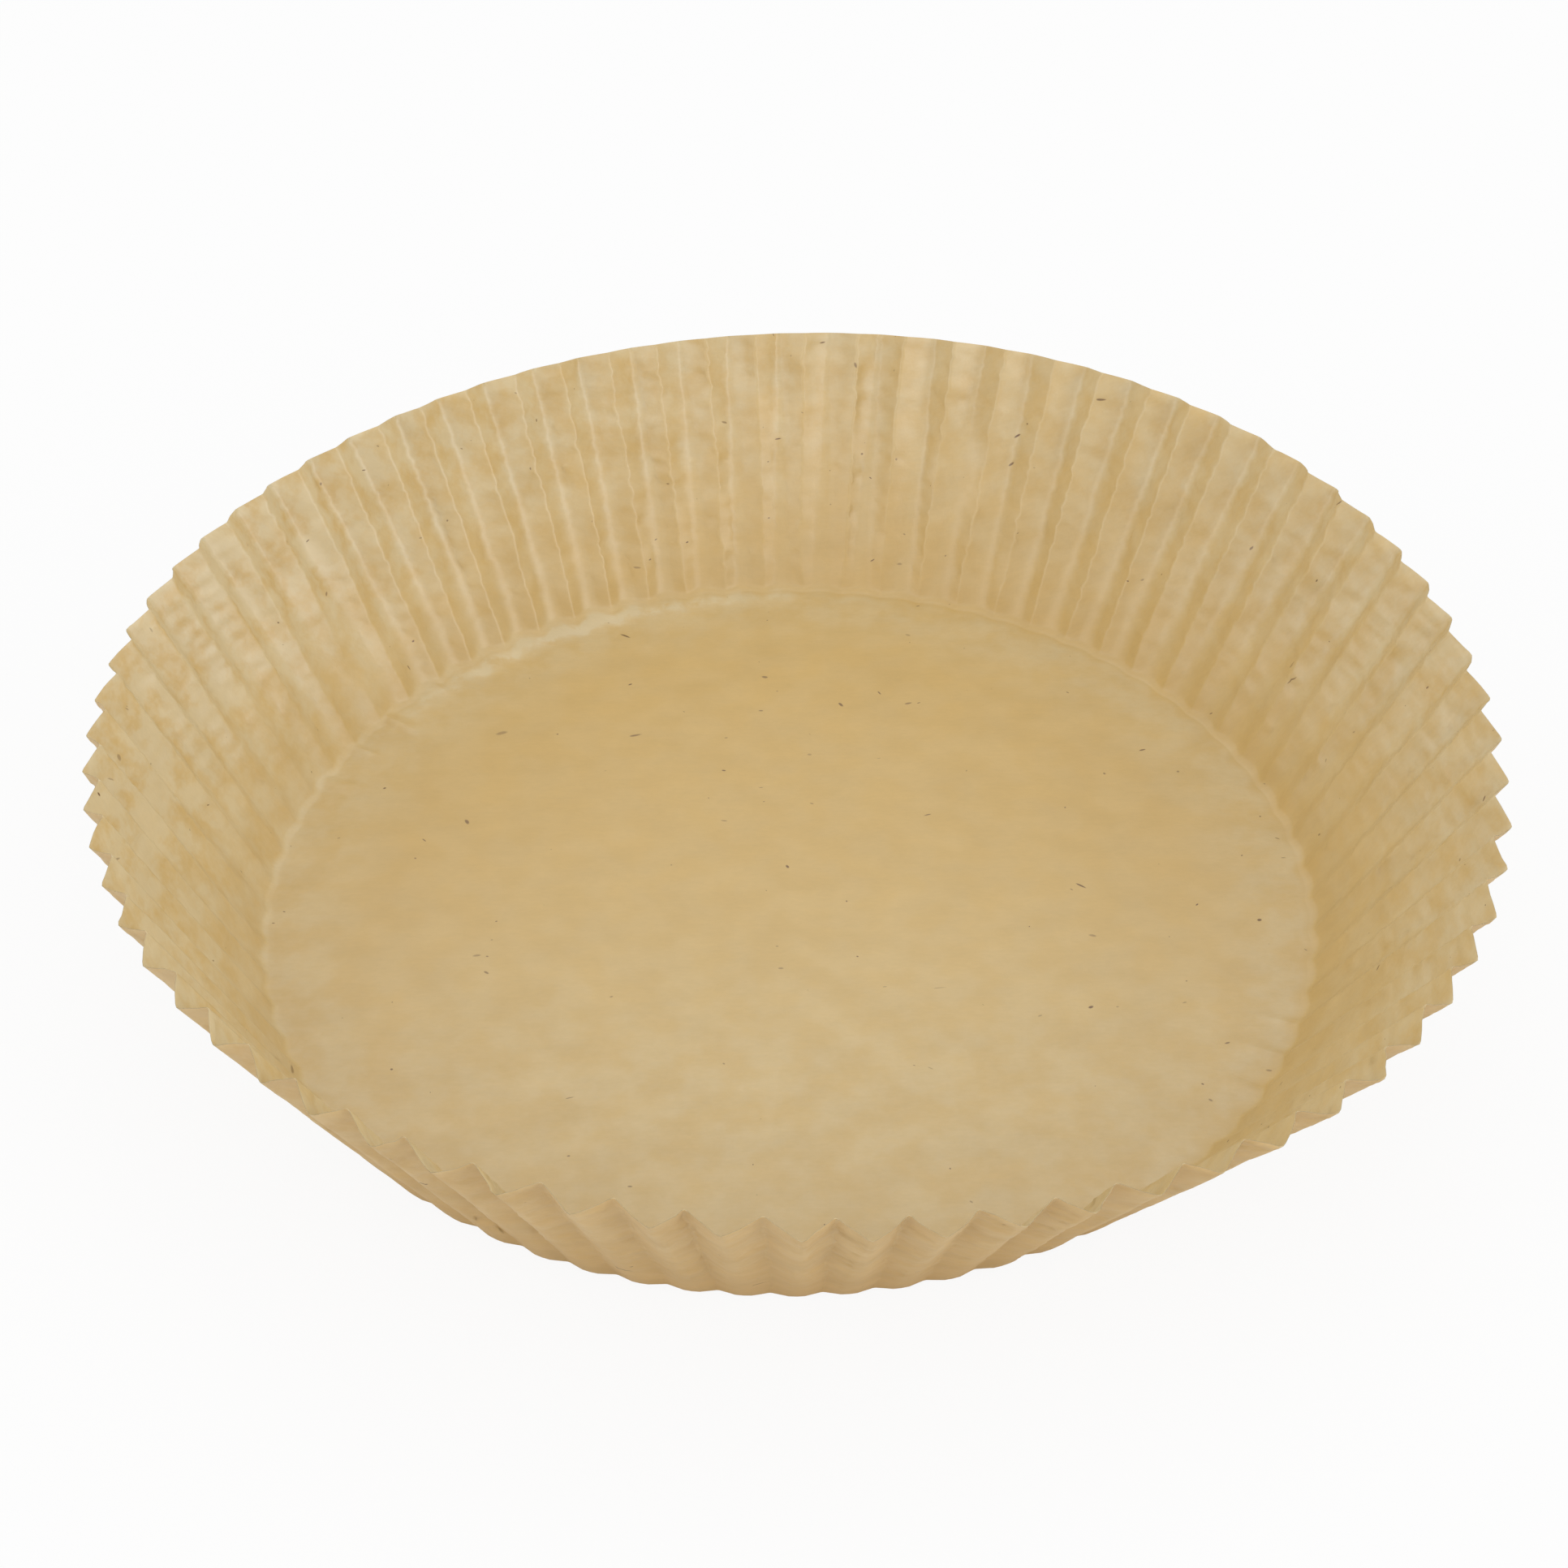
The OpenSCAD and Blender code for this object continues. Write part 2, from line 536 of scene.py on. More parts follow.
@dataclass
class PaperLiner:
    """The liner: a round sheet with a flat bottom, a fold and a fluted wall.

    Args:
        rim_r: the outermost radius of the rim's flutes, from the frame.
        rim_z: the height of the rim's highest point, from the frame.
        bottom_r: the radius of the bottom, to the middle of its fold.
        fold_r: the radius of the fold.
        paper_t: the thickness of the paper.
        rim_depth: the depth of the flutes at the rim.
        coarse_r: the radius up to which the floor has few points.
        crowded_r: the radius from which the floor's rings crowd together.
        floor_cuts: the rings in each of the floor's three parts.
        fold_cuts: the rings in the fold.
        wall_cuts: the rings in the wall.
        fine_cuts: how many columns stand between two of the coarse part.
        map_span: the length that one unit of the sheet's map spans.
        inside_tile: where the bake's map has the inside.
        underside_tile: where it has the underside.
        underside_shift: how far the underside's patterns are moved on the sheet's map, so
            that they aren't the inside's.
        fold_weight: how much the larger faces count in the shading of a crease.
        flutes: the flutes.
        crumple: how far the paper strays from a perfect cup.
        paleness: where the paper is pale, from creasing and from painted light and shade.
        rim_out: how far the rim spreads.
        rim_up: how far the rim rises.
        bottom_out: how far the bottom is from round.
        pinches: the small creases at the floor's edge.
        slacks: where the flutes have opened out.
        curl: where the floor's edge curls up.
    """

    rim_r: float
    rim_z: float
    bottom_r: float = 80.0 * MM
    fold_r: float = 1.7 * MM
    paper_t: float = 0.06 * MM
    rim_depth: float = 2.62 * MM
    coarse_r: float = 61.0 * MM
    crowded_r: float = 72.0 * MM
    floor_cuts: tuple[int, int, int] = (6, 2, 6)
    fold_cuts: int = 3
    wall_cuts: int = 51
    fine_cuts: int = 4
    map_span: float = 0.43
    inside_tile: tuple[float, float] = (0.295, 0.705)
    underside_tile: tuple[float, float] = (0.705, 0.295)
    underside_shift: tuple[float, float] = (3.0, 1.0)
    fold_weight: int = 60
    flutes: Flutes = field(default_factory=Flutes)
    crumple: Crumple = field(default_factory=Crumple)
    paleness: Paleness = field(default_factory=Paleness)
    rim_out: tuple[Wave, ...] = (
        Wave(0, -0.5 * MM, 0.0), Wave(1, 1.3 * MM, -13.0), Wave(2, 1.25 * MM, 99.0),
        Wave(3, 0.4 * MM, 83.0), Wave(4, 0.65 * MM, 58.0),
    )
    rim_up: tuple[Wave, ...] = (
        Wave(0, 0.2 * MM, 0.0), Wave(1, 1.9 * MM, 176.0), Wave(2, 2.2 * MM, 46.0),
        Wave(3, 0.4 * MM, 10.0), Wave(4, 0.3 * MM, 18.0),
    )
    bottom_out: tuple[Wave, ...] = (Wave(2, 0.7 * MM, 7.0),)
    pinches: tuple[Pinch, ...] = (
        Pinch(147.0, 8.0 * MM, 0.7 * MM, 1.6 * MM),
        Pinch(153.5, 6.0 * MM, 0.6 * MM, 1.5 * MM),
        Pinch(160.0, 7.0 * MM, 0.6 * MM, 1.8 * MM),
        Pinch(139.0, 4.0 * MM, 0.4 * MM, 1.2 * MM),
        Pinch(-27.0, 9.0 * MM, 0.3 * MM, 1.6 * MM),
        Pinch(-22.0, 7.0 * MM, 0.3 * MM, 1.4 * MM),
        Pinch(-33.0, 8.0 * MM, 0.3 * MM, 1.8 * MM),
    )
    slacks: tuple[Slack, ...] = (
        Slack(147.3, 6.0, 12.0 * MM, 22.0 * MM, 0.9),
        Slack(70.3, 5.0, 24.0 * MM, 12.0 * MM, 0.9),
        Slack(90.0, 9.0, 22.0 * MM, 20.0 * MM, 0.35),
        Slack(182.0, 34.0, 8.0 * MM, 28.0 * MM, 0.3),
    )
    curl: Curl = field(default_factory=Curl)

    def __post_init__(self) -> None:
        """Works out the cup's plain form from the frame's box and the driving sizes."""
        inset = self.rim_depth / 2
        rounds = 4
        self.rise = math.atan2(self.rim_z, self.rim_r - self.bottom_r)
        for _ in range(rounds):
            out = self.rim_r - inset * math.sin(self.rise) - self.bottom_r
            up = self.rim_z - inset * math.cos(self.rise)
            self.rise = math.atan2(up, out)
        self.wall_l = math.hypot(out, up)
        self.fold_cut = self.fold_r * math.tan(self.rise / 2)
        self.floor_r = self.bottom_r - self.fold_cut
        self.fold_l = self.fold_r * self.rise
        self.sheet_r = self.floor_r + self.fold_l + self.wall_l - self.fold_cut

    def wall_r(self, s: float) -> float:
        """The plain wall's radius at s.

        Args:
            s: where it is read.

        Returns:
            Its radius there, without flutes.
        """
        angle = self.rise * min(max(s / self.fold_l, 0.0), 1.0)
        straight = max(s - self.fold_l, 0.0) * math.cos(self.rise)
        return self.floor_r + min(s, 0.0) + self.fold_r * math.sin(angle) + straight

    def wall_z(self, s: float) -> float:
        """The plain wall's height at s.

        Args:
            s: where it is read.

        Returns:
            Its height there, without flutes.
        """
        angle = self.rise * min(max(s / self.fold_l, 0.0), 1.0)
        straight = max(s - self.fold_l, 0.0) * math.sin(self.rise)
        return self.fold_r * (1.0 - math.cos(angle)) + straight

    def spare(self, s: float) -> float:
        """Paper that the sheet has round the ring at s, for each length that it needs."""
        return (self.floor_r + s) / self.wall_r(s) if s > 0.0 else 1.0

    def up(self, s: float) -> float:
        """How far up the wall the paper at s is, from 0 to 1."""
        return max(s, 0.0) / (self.sheet_r - self.floor_r)

    def depth(self, s: float) -> float:
        """The depth of flutes that take up just the paper that a ring has to spare.

        Args:
            s: where the ring is.

        Returns:
            The depth from the outer tips to the inner ones.
        """
        tips = self.flutes.outer_width(self.up(s)) + self.flutes.inner_tip
        paper = self.spare(s) - tips
        run = 1.0 - tips
        pitch = self.flutes.pitch * self.wall_r(s)
        return pitch / 2 * math.sqrt(max(paper * paper - run * run, 0.0))

    def slack(self, azimuth: float, s: float) -> float:
        """How far the flutes have opened out at a place on the wall.

        Args:
            azimuth: the place's azimuth, in radians.
            s: how far up the wall it is.

        Returns:
            The share of the flutes' depth that is left.
        """
        left = 1.0
        for stretch in self.slacks:
            across = hill(turned(azimuth, stretch.azimuth) / stretch.spread)
            along = hill((s - stretch.height) / stretch.reach)
            left -= stretch.loss * across * along
        return left

    def pinch(self, azimuth: float, s: float) -> float:
        """How far the small creases lift the paper at a place.

        Args:
            azimuth: the place's azimuth, in radians.
            s: how far it is from the floor's edge.

        Returns:
            The height that it is lifted by.
        """
        lift = 0.0
        for crease in self.pinches:
            aside = math.radians(turned(azimuth, crease.azimuth)) * self.floor_r
            along = hill(s / (crease.reach if s < 0.0 else crease.climb))
            lift += crease.height * hill(aside / crease.width) * along
        return lift

    def flat(self, spot: Spot) -> Vector:
        """Where a point lies on the flat sheet.

        Args:
            spot: the point.

        Returns:
            Its place, with the middle of the sheet at the origin.
        """
        s = spot.radius - self.floor_r
        share = self.flutes.offset(spot.column, self.up(s), self.spare(s))
        number = (spot.column + 1) // self.flutes.columns
        angle = (number + share) * self.flutes.pitch
        return Vector((spot.radius * math.cos(angle), spot.radius * math.sin(angle), 0.0))

    def azimuth(self, spot: Spot) -> float:
        """The azimuth of a point in the cup, before its crease wobbles.

        Args:
            spot: the point on the flat sheet.

        Returns:
            The azimuth in radians.
        """
        rough, flutes = self.crumple, self.flutes
        s = spot.radius - self.floor_r
        part, number = flutes.part(spot.column), flutes.number(spot.column)
        shift = rough.tip_shift * flutes.shifts[part][number]
        wander = rough.tip_wander * rough.wander.at(s, number, part)
        share = flutes.offset(spot.column, self.up(s), 1.0)
        share += smooth(0.0, rough.grown, s) * (shift + wander)
        return math.radians(flutes.first_tip) + (number + share) * flutes.pitch

    def push(self, spot: Spot, azimuth: float) -> float:
        """How far a point of the wall stands in from the plain wall.

        Args:
            spot: the point on the flat sheet.
            azimuth: its azimuth in the cup, in radians.

        Returns:
            The distance, along the plain wall's own normal.
        """
        rough, flutes = self.crumple, self.flutes
        s = spot.radius - self.floor_r
        part, number = flutes.part(spot.column), flutes.number(spot.column)
        grown = smooth(0.0, rough.grown, s)
        place = outwards(azimuth) * self.bottom_r
        round_x, round_y = place.x * rough.crinkle_count, place.y * rough.crinkle_count
        dent = noise.noise(Vector((place.x, place.y, s)) / rough.dent_size)
        crinkle = noise.noise(Vector((s / rough.crinkle_size, round_x, round_y)))
        deep = 1.0 + rough.depth_spread * rough.depth.at(s, number, part)
        push = flutes.lean(spot.column) * self.depth(s) * deep * self.slack(azimuth, s)
        return push + grown * rough.dent * dent + grown * rough.crinkle * crinkle

    def pressed(self, spot: Spot) -> Vector:
        """The place of a point in the finished cup.

        Args:
            spot: the point on the flat sheet.

        Returns:
            Where the press puts it.
        """
        rough = self.crumple
        s = spot.radius - self.floor_r
        up = self.up(s)
        azimuth = self.azimuth(spot)
        inner = min(spot.radius / self.floor_r, 1.0)
        radius = self.wall_r(s) + together(self.bottom_out, azimuth) * inner
        radius += up * together(self.rim_out, azimuth)
        height = self.paper_t + self.wall_z(s)
        height += up * together(self.rim_up, azimuth)

        part_curled = 1.0 - rough.plain_scallop
        bulge = rough.scallop * (rough.plain_scallop + part_curled * self.curl.share(azimuth))
        radius -= bulge * self.flutes.lean(spot.column) * rough.scallops.at(s)
        height += self.curl.lift(azimuth, s) * (1.0 - up)
        if s > 0.0:
            push = self.push(spot, azimuth)
            radius -= push * math.sin(self.rise)
            height += push * math.cos(self.rise)
            part, number = self.flutes.part(spot.column), self.flutes.number(spot.column)
            wobble = smooth(0.0, rough.grown, s) * rough.ridge_wobble
            azimuth += wobble * rough.wobble.at(s, number, part) / radius
        else:
            place = outwards(azimuth) * spot.radius / rough.floor_rise_size
            calm = 1.0 - smooth(rough.floor_calm, 1.0, spot.radius / self.floor_r)
            height += calm * rough.floor_rise * (0.5 + 0.5 * noise.noise(place))
        height += self.pinch(azimuth, s)
        return outwards(azimuth) * radius + Vector((0.0, 0.0, height))

    def paling_and_painted_light(self, spot: Spot) -> float:
        """How pale the paper is at a point, from creasing and from painted light and shade.

        Args:
            spot: the point on the flat sheet.

        Returns:
            The paleness, from 0 to 1.
        """
        s = spot.radius - self.floor_r
        azimuth = math.radians(self.flutes.first_tip) + spot.column * math.tau / self.flutes.total
        lean, soft = self.flutes.lean(spot.column), self.curl.share(azimuth)
        return self.paleness.at(azimuth, s, spot.radius, lean, soft)

    def profile(self) -> bmesh.types.BMesh:
        """The line that is spun into the flat sheet.

        Returns:
            A line from the sheet's middle to its rim, cut where its rings will be.
        """
        bm = bmesh.new()
        stops = (0.0, self.coarse_r, self.crowded_r, self.floor_r,
                 self.floor_r + self.fold_l, self.sheet_r)
        corners = [bm.verts.new((stop, 0.0, 0.0)) for stop in stops]
        lines = [bm.edges.new(ends) for ends in zip(corners, corners[1:])]
        cuts = (*self.floor_cuts, self.fold_cuts, self.wall_cuts)
        for line, count in zip(lines, cuts):
            bmesh.ops.subdivide_edges(bm, edges=[line], cuts=count)
        return bm

    def disc(self) -> tuple[bmesh.types.BMesh, list[Spot]]:
        """The flat sheet.

        Returns:
            The sheet with its faces up, and the spot of each of its points.
        """
        bm = self.profile()
        rings = sorted(v.co.x for v in bm.verts)
        same_point = 0.001 * MM
        same_ring = 0.01 * MM
        fine_r = self.coarse_r - 0.1 * MM
        bmesh.ops.spin(
            bm, geom=list(bm.verts) + list(bm.edges), cent=(0, 0, 0), axis=(0, 0, 1),
            angle=math.tau, steps=self.flutes.total // (self.fine_cuts + 1), use_merge=True,
        )
        bmesh.ops.remove_doubles(bm, verts=bm.verts, dist=same_point)
        around = [
            e for e in bm.edges
            if min(v.co.length for v in e.verts) > fine_r
            and abs(e.verts[0].co.length - e.verts[1].co.length) < same_ring
        ]
        bmesh.ops.subdivide_edges(bm, edges=around, cuts=self.fine_cuts, use_grid_fill=True)
        bmesh.ops.triangulate(bm, faces=[f for f in bm.faces if len(f.verts) > 4])
        bmesh.ops.recalc_face_normals(bm, faces=bm.faces)
        bm.faces.ensure_lookup_table()
        if bm.faces[0].normal.z < 0.0:
            bmesh.ops.reverse_faces(bm, faces=bm.faces)
        bm.verts.index_update()
        step = math.tau / self.flutes.total
        spots = []
        for v in bm.verts:
            radius = min(rings, key=lambda ring: abs(ring - v.co.length))
            angle = math.atan2(v.co.y, v.co.x) % math.tau
            spots.append(Spot(radius, round(angle / step) % self.flutes.total))
        return bm, spots

    def press(self) -> bmesh.types.BMesh:
        """The pressed sheet, before it has a thickness.

        Returns:
            The sheet in the form of the cup, with its maps and its paleness.
        """
        bm, spots = self.disc()
        flat_map = bm.loops.layers.uv.new(FLAT_MAP)
        bake_map = bm.loops.layers.uv.new(BAKE_MAP)
        flat = [self.flat(spot) / self.map_span for spot in spots]
        for face in bm.faces:
            for loop in face.loops:
                place = flat[loop.vert.index].xy
                loop[flat_map].uv = place
                loop[bake_map].uv = place + Vector(self.inside_tile)
        paling_and_painted_light = bm.verts.layers.float.new(PALING_AND_PAINTED_LIGHT)
        for v, spot in zip(bm.verts, spots):
            v.co = self.pressed(spot)
            v[paling_and_painted_light] = self.paling_and_painted_light(spot)
        bm.normal_update()
        return bm

    def thicken(self, bm: bmesh.types.BMesh) -> None:
        """Gives the pressed sheet its thickness, and each of its faces its side of the paper.

        Args:
            bm: the pressed sheet, which is changed.
        """
        flat_map = bm.loops.layers.uv[FLAT_MAP]
        bake_map = bm.loops.layers.uv[BAKE_MAP]
        first_faces = set(bm.faces)
        made = bmesh.ops.solidify(bm, geom=list(bm.faces), thickness=self.paper_t)
        moved_faces = {g for g in made["geom"] if isinstance(g, bmesh.types.BMFace)}
        bm.normal_update()
        for face in bm.faces:
            if face in first_faces:
                side = Side.INSIDE
            elif face in moved_faces:
                side = Side.UNDERSIDE
            else:
                side = Side.CUT_EDGE
            face.smooth = side is not Side.CUT_EDGE
            face.material_index = side.value
            if side is Side.UNDERSIDE:
                for loop in face.loops:
                    place = loop[flat_map].uv
                    loop[bake_map].uv = place + Vector(self.underside_tile)
                    loop[flat_map].uv = place + Vector(self.underside_shift)

    def build(self, finishes: dict[Side, bpy.types.Material]) -> bpy.types.Object:
        """Lays out the sheet, presses it and gives it its thickness.

        Args:
            finishes: the finish of each side of the paper.

        Returns:
            The finished liner.
        """
        bm = self.press()
        self.thicken(bm)
        mesh = bpy.data.meshes.new("liner_sheet")
        bm.to_mesh(mesh)
        bm.free()
        for side in Side:
            mesh.materials.append(finishes[side])
        piece = in_scene("liner_sheet", mesh)
        crisp = piece.modifiers.new("crisp_folds", "WEIGHTED_NORMAL")
        crisp.mode = "FACE_AREA"
        crisp.weight = self.fold_weight
        return piece


def in_scene(name: str, data: bpy.types.ID) -> bpy.types.Object:
    """A new object in the scene.

    Args:
        name: its name.
        data: its mesh, light or camera.

    Returns:
        The object.
    """
    piece = bpy.data.objects.new(name, data)
    bpy.context.scene.collection.objects.link(piece)
    return piece


class Board:
    """A node tree under construction."""

    def __init__(self, tree: bpy.types.NodeTree) -> None:
        """Starts on a node tree, emptied."""
        self.tree = tree
        tree.nodes.clear()

    def add(self, kind: str, **settings: object) -> bpy.types.Node:
        """A new node.

        Args:
            kind: Blender's name for the type of node.
            settings: properties of the node by name.

        Returns:
            The node.
        """
        node = self.tree.nodes.new(kind)
        for name, value in settings.items():
            setattr(node, name, value)
        return node

    def link(self, value: object, socket: bpy.types.NodeSocket) -> None:
        """Links a socket, or sets it.

        Args:
            value: the socket to link it to, or the number or colour to set it to.
            socket: the socket.
        """
        if isinstance(value, bpy.types.NodeSocket):
            self.tree.links.new(value, socket)
        else:
            socket.default_value = value

    def feed(self, node: bpy.types.Node, **values: object) -> bpy.types.Node:
        """Sets or links a node's inputs.

        Args:
            node: the node.
            values: a number, colour or socket for each input, named with _ for a space.

        Returns:
            The same node.
        """
        for name, value in values.items():
            self.link(value, node.inputs[name.replace("_", " ")])
        return node

    def maths(self, operation: str, first: object, second: object = 0.0,
              clamp: bool = False) -> bpy.types.NodeSocket:
        """A Math node.

        Args:
            operation: what it works out.
            first: a number or a socket.
            second: a number or a socket.
            clamp: whether the answer is kept from 0 to 1.

        Returns:
            The socket of its answer.
        """
        node = self.add("ShaderNodeMath", operation=operation, use_clamp=clamp)
        for value, socket in zip((first, second), node.inputs):
            self.link(value, socket)
        return node.outputs[0]

    def vector(self, operation: str, *values: object) -> bpy.types.NodeSocket:
        """A Vector Math node.

        Args:
            operation: what it works out.
            values: three numbers or a socket for each input, in order.

        Returns:
            The socket of its answer, which is a number for a length.
        """
        node = self.add("ShaderNodeVectorMath", operation=operation)
        for value, socket in zip(values, node.inputs):
            self.link(value, socket)
        return node.outputs["Value" if operation == "LENGTH" else "Vector"]

    def step(self, value: bpy.types.NodeSocket, low: float, high: float) -> bpy.types.NodeSocket:
        """A soft step.

        Args:
            value: the socket to read.
            low: the value at which the step starts.
            high: the value at which it is complete.

        Returns:
            The socket of its answer, from 0 to 1.
        """
        node = self.add("ShaderNodeMapRange", interpolation_type="SMOOTHSTEP")
        return self.feed(node, Value=value, From_Min=low, From_Max=high).outputs["Result"]

    def cloud(self, place: bpy.types.NodeSocket, scale: float, detail: float,
              roughness: float) -> bpy.types.NodeSocket:
        """Soft noise.

        Args:
            place: where it is read.
            scale: its waves in each unit of place.
            detail: how many finer layers it has.
            roughness: how strong the finer layers are.

        Returns:
            The socket of its value, from 0 to 1 about 0.5.
        """
        node = self.add("ShaderNodeTexNoise", noise_dimensions="3D")
        self.feed(node, Vector=place, Scale=scale, Detail=detail, Roughness=roughness)
        return node.outputs[0]

    def mix(self, share: object, first: object, second: object,
            blend_type: str = "MIX") -> bpy.types.NodeSocket:
        """A Mix node for colours.

        Args:
            share: how much of the second colour it takes, as a number or a socket.
            first: a colour or a socket.
            second: a colour or a socket.
            blend_type: how it puts the two together.

        Returns:
            The socket of its colour.
        """
        node = self.add("ShaderNodeMix", data_type="RGBA", blend_type=blend_type)
        colours = [socket for socket in node.inputs if socket.type == "RGBA"]
        self.feed(node, Factor=share)
        for value, socket in zip((first, second), colours):
            self.link(value, socket)
        return next(socket for socket in node.outputs if socket.type == "RGBA")


def effect(name: str, inputs: dict[str, float | None],
           output: str) -> tuple[Board, Sockets, bpy.types.NodeSocket]:
    """An empty node group with named sockets.

    Args:
        name: the group's name.
        inputs: each input's name, with its usual value, or None for a place.
        output: the name of its output, a number.

    Returns:
        The board to build on, the sockets that give the inputs, and the one that takes the
        output.
    """
    tree = bpy.data.node_groups.new(name, "ShaderNodeTree")
    board = Board(tree)
    for label, value in inputs.items():
        kind = "NodeSocketVector" if value is None else "NodeSocketFloat"
        socket = tree.interface.new_socket(name=label, in_out="INPUT", socket_type=kind)
        if value is not None:
            socket.default_value = value
    tree.interface.new_socket(name=output, in_out="OUTPUT", socket_type="NodeSocketFloat")
    given = board.add("NodeGroupInput").outputs
    taken = board.add("NodeGroupOutput").inputs
    return board, {label: given[label] for label in inputs}, taken[output]


def formation() -> bpy.types.NodeTree:
    """The cloudy look of paper held to the light: thick and thin patches and fine fibres.

    Returns:
        The group, with the shade that the paper's colour is multiplied by.
    """
    board, given, taken = effect(
        "paper_formation",
        {"Place": None, "Patches": 0.05, "Fibres": 0.03, "Streaks": 0.02}, "Shade",
    )
    patches = board.vector("MULTIPLY", given["Place"], (0.09, 0.14, 0.14))
    patches = board.cloud(patches, scale=1.0, detail=4.0, roughness=0.62)
    fibres = board.vector("MULTIPLY", given["Place"], (0.7, 2.0, 2.0))
    fibres = board.cloud(fibres, scale=1.0, detail=3.0, roughness=0.65)
    streaks = board.vector("MULTIPLY", given["Place"], (0.09, 0.8, 0.8))
    streaks = board.cloud(streaks, scale=1.0, detail=2.0, roughness=0.5)
    shade = 0.0
    for value, amount in ((patches, "Patches"), (fibres, "Fibres"), (streaks, "Streaks")):
        part = board.maths("MULTIPLY", board.maths("SUBTRACT", value, 0.5), given[amount])
        shade = board.maths("ADD", part, shade)
    board.link(board.maths("ADD", board.maths("MULTIPLY", shade, 2.0), 1.0), taken)
    return board.tree


def paling() -> bpy.types.NodeTree:
    """Where creasing has opened the fibres of the paper and turned it pale, and where light and
    shade are painted.

    Returns:
        The group, with the share of the pale colour.
    """
    board, given, taken = effect("pale_share_and_painted_light", {"Place": None, "Worked": 0.0}, "Mask")
    patch_share = 0.4
    fine_share = 0.3
    middle = 0.35
    even_share = 0.62
    blot_share = 0.1
    patches = board.cloud(given["Place"], scale=0.16, detail=1.0, roughness=0.45)
    patches = board.step(patches, low=0.34, high=0.66)
    fine = board.cloud(given["Place"], scale=0.5, detail=2.0, roughness=0.6)
    fine = board.step(fine, low=0.32, high=0.68)
    cloudy = board.maths("ADD", board.maths("MULTIPLY", patches, patch_share),
                         board.maths("MULTIPLY", fine, fine_share))
    cloudy = board.maths("MULTIPLY", board.maths("SUBTRACT", cloudy, middle), given["Worked"])
    cover = board.maths("MULTIPLY", board.maths("ADD", cloudy, even_share), given["Worked"])
    blots = board.maths("MULTIPLY", patches, blot_share)
    board.link(board.maths("ADD", cover, blots, clamp=True), taken)
    return board.tree


def specks() -> bpy.types.NodeTree:
    """Sparse dark specks and short fibres, left in unbleached pulp.

    Returns:
        The group, with the share of the specks' colour.
    """
    board, given, taken = effect(
        "pulp_specks",
        {"Place": None, "Cell": 8.0, "Share": 0.12, "Radius": 0.2, "Length": 2.5}, "Mask",
    )
    bend = 9.0
    least_size = 0.4
    sharpness = 2.5
    least_depth = 0.4
    swirl = board.add("ShaderNodeTexNoise", noise_dimensions="3D")
    board.feed(swirl, Vector=given["Place"], Scale=0.11, Detail=0.0)
    bent = board.vector("MULTIPLY_ADD", swirl.outputs["Color"], (bend, bend, 0.0),
                        given["Place"])
    slim = board.add("ShaderNodeCombineXYZ")
    board.feed(slim, X=board.maths("DIVIDE", 1.0, given["Length"]), Y=1.0, Z=0.0)
    long_place = board.vector("MULTIPLY", bent, slim.outputs[0])
    cells = board.add("ShaderNodeTexVoronoi", voronoi_dimensions="2D", feature="F1")
    board.feed(cells, Vector=long_place, Scale=board.maths("DIVIDE", 1.0, given["Cell"]))
    draws = board.add("ShaderNodeSeparateColor")
    board.link(cells.outputs["Color"], draws.inputs[0])
    chosen, larger, darker = draws.outputs
    far = board.maths("MULTIPLY", cells.outputs["Distance"], given["Cell"])
    size = board.maths("MULTIPLY", given["Radius"], board.maths("ADD", larger, least_size))
    near = board.maths("SUBTRACT", 1.0, board.maths("DIVIDE", far, size), clamp=True)
    dark = board.maths("MULTIPLY", near, sharpness, clamp=True)
    dark = board.maths("MULTIPLY", dark, board.maths("LESS_THAN", chosen, given["Share"]))
    depth = board.maths("MULTIPLY", darker, 1.0 - least_depth)
    depth = board.maths("ADD", depth, least_depth)
    board.link(board.maths("MULTIPLY", dark, depth), taken)
    return board.tree


def crinkles() -> bpy.types.NodeTree:
    """The paper's surface: fine grain, and small ripples that cross the flutes.

    Returns:
        The group, with the height of the surface.
    """
    board, given, taken = effect(
        "paper_crinkles",
        {"Place": None, "Grain": 0.5, "Ripples": 1.0, "Floor radius": 79.3}, "Height",
    )
    around = 34.0
    up_the_wall = 0.75
    foot = 8.0
    grain = board.maths("ADD", board.cloud(given["Place"], scale=2.2, detail=3.0, roughness=0.6),
                        board.cloud(given["Place"], scale=0.5, detail=2.0, roughness=0.5))
    radius = board.vector("LENGTH", given["Place"])
    up = board.add("ShaderNodeCombineXYZ")
    board.feed(up, Z=board.maths("MULTIPLY", radius, up_the_wall))
    polar = board.vector("MULTIPLY_ADD", board.vector("NORMALIZE", given["Place"]),
                         (around, around, 0.0), up.outputs[0])
    ripple = board.cloud(polar, scale=1.0, detail=2.0, roughness=0.55)
    past_floor = board.maths("SUBTRACT", radius, given["Floor radius"])
    ripple = board.maths("MULTIPLY", ripple, board.step(past_floor, low=0.0, high=foot))
    height = board.maths("ADD", board.maths("MULTIPLY", grain, given["Grain"]),
                         board.maths("MULTIPLY", ripple, given["Ripples"]))
    board.link(height, taken)
    return board.tree


@dataclass(frozen=True)
class Effects:
    """The node groups that the finishes share."""

    formation: bpy.types.NodeTree
    paling: bpy.types.NodeTree
    specks: bpy.types.NodeTree
    crinkles: bpy.types.NodeTree


@dataclass(frozen=True)
class Speck:
    """A kind of speck.

    Args:
        cell: the width of the places that can each have one, in millimetres.
        share: how common it is, next to the paper's share of specks.
        radius: its radius, in millimetres.
        length: how many times as long as wide it is.
    """

    cell: float
    share: float
    radius: float
    length: float


